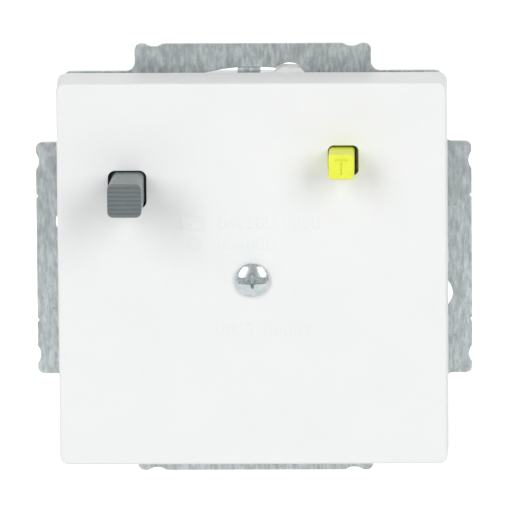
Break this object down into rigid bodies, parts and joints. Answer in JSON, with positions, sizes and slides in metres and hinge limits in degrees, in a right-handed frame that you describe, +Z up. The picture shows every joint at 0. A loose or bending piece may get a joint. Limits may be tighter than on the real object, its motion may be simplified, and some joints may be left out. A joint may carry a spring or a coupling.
{
  "type": "residual current device",
  "caption": "Flush-mounted two-pole residual current device: steel support ring, square cover with reset and test buttons, rear housing with trip mechanism.",
  "frame": {"origin": "centre of the support ring's rear face, on the wall plane", "axes": "+Y into the wall, +Z up, +X to the right seen from the front"},
  "size_m": [0.071, 0.0613, 0.071],
  "materials": {
    "galvanised_steel": "hot-dip galvanised, dull",
    "zinc_screw": "bright zinc",
    "spring_steel": "drawn wire",
    "soft_iron": "annealed",
    "cover_white": "semi-gloss",
    "housing_white": "moulded",
    "reset_grey": "moulded",
    "test_yellow": "moulded",
    "black_plastic": "moulded",
    "mechanism_grey": "moulded",
    "contact_copper": "bare copper",
    "terminal_brass": "plain",
    "winding_enamel": "enamelled wire",
    "core_tape": "taped core",
    "board_green": "solder mask",
    "resistor_blue": "lacquer",
    "varistor_amber": "epoxy dip"
  },
  "bodies": {
    "housing": {"support_ring": "galvanised_steel", "cover_plate": "cover_white", "plate_screw": "zinc_screw", "housing_deck": "housing_white", "housing_base": "housing_white", "rear_cover": "housing_white", "housing_screw_1": "zinc_screw", "housing_screw_2": "zinc_screw", "mechanism_chassis": "mechanism_grey", "reset_spring": "spring_steel", "test_contact_foot": "contact_copper", "circuit_board": "board_green", "test_resistor": "resistor_blue", "smoothing_capacitor": "black_plastic", "rectifier": "black_plastic", "surge_varistor": "varistor_amber", "opening_spring": "spring_steel", "arc_barrier": "housing_white", "transformer_core": "core_tape", "secondary_winding": "winding_enamel", "relay_yoke": "soft_iron", "relay_bobbin": "black_plastic", "relay_winding": "winding_enamel", "relay_magnet": "core_tape", "armature_spring": "spring_steel", "trip_lever_pin": "spring_steel", "latch_lever_pin": "spring_steel", "fixed_contact_line_supply": "contact_copper", "fixed_contact_line_load": "contact_copper", "primary_conductor_line": "contact_copper", "terminal_cage_line_supply": "terminal_brass", "terminal_screw_line_supply": "zinc_screw", "terminal_cage_line_load": "terminal_brass", "terminal_screw_line_load": "zinc_screw", "fixed_contact_neutral_supply": "contact_copper", "fixed_contact_neutral_load": "contact_copper", "primary_conductor_neutral": "contact_copper", "terminal_cage_neutral_supply": "terminal_brass", "terminal_screw_neutral_supply": "zinc_screw", "terminal_cage_neutral_load": "terminal_brass", "terminal_screw_neutral_load": "zinc_screw"},
    "reset": {"reset_button": "reset_grey"},
    "carrier": {"contact_carrier": "black_plastic", "moving_contact_line": "contact_copper", "moving_contact_neutral": "contact_copper"},
    "test": {"test_button": "test_yellow"},
    "test_leaf": {"test_contact_leaf": "contact_copper"},
    "armature": {"relay_armature": "soft_iron"},
    "trip": {"trip_lever": "mechanism_grey"},
    "latch": {"latch_lever": "mechanism_grey"}
  },
  "joints": [
    {"name": "reset_slide", "type": "slide", "parent": "housing", "child": "reset", "axis": [0, 1, 0], "range_m": [0, 0.004], "stiffness_N_per_m": 300, "springref_m": -0.002, "deforming": ["reset_spring"]},
    {"name": "carrier_slide", "type": "slide", "parent": "housing", "child": "carrier", "axis": [0, 1, 0], "range_m": [0, 0.004], "stiffness_N_per_m": 400, "springref_m": -0.002, "deforming": ["opening_spring"]},
    {"name": "test_slide", "type": "slide", "parent": "housing", "child": "test", "axis": [0, 1, 0], "range_m": [0, 0.002], "stiffness_N_per_m": 200, "springref_m": -0.001},
    {"name": "test_leaf_bend", "type": "hinge", "parent": "housing", "child": "test_leaf", "pos_m": [0.0146, -0.00545, 0.0078], "axis": [-1, 0, 0], "range_deg": [0, 10.5], "stiffness_Nm_per_rad": 0.01},
    {"name": "armature_tilt", "type": "hinge", "parent": "housing", "child": "armature", "pos_m": [0.0211, 0.0169, 0], "axis": [0, 0, 1], "range_deg": [0, 8], "stiffness_Nm_per_rad": 0.01, "deforming": ["armature_spring"]},
    {"name": "trip_lever_turn", "type": "hinge", "parent": "housing", "child": "trip", "pos_m": [0.001, 0.011, -0.006], "axis": [0, 0, 1], "range_deg": [-7.3, 0]},
    {"name": "latch_lever_turn", "type": "hinge", "parent": "housing", "child": "latch", "pos_m": [-0.0136, 0.015, -0.006], "axis": [0, 0, 1], "range_deg": [0, 4.1]}
  ],
  "couplings": [
    {"joint": "carrier_slide", "follows": "reset_slide", "ratio": 1},
    {"joint": "test_leaf_bend", "follows": "test_slide", "rad_per_m": 91.4},
    {"joint": "trip_lever_turn", "follows": "armature_tilt", "ratio": -0.9},
    {"joint": "latch_lever_turn", "follows": "armature_tilt", "ratio": 0.5}
  ]
}
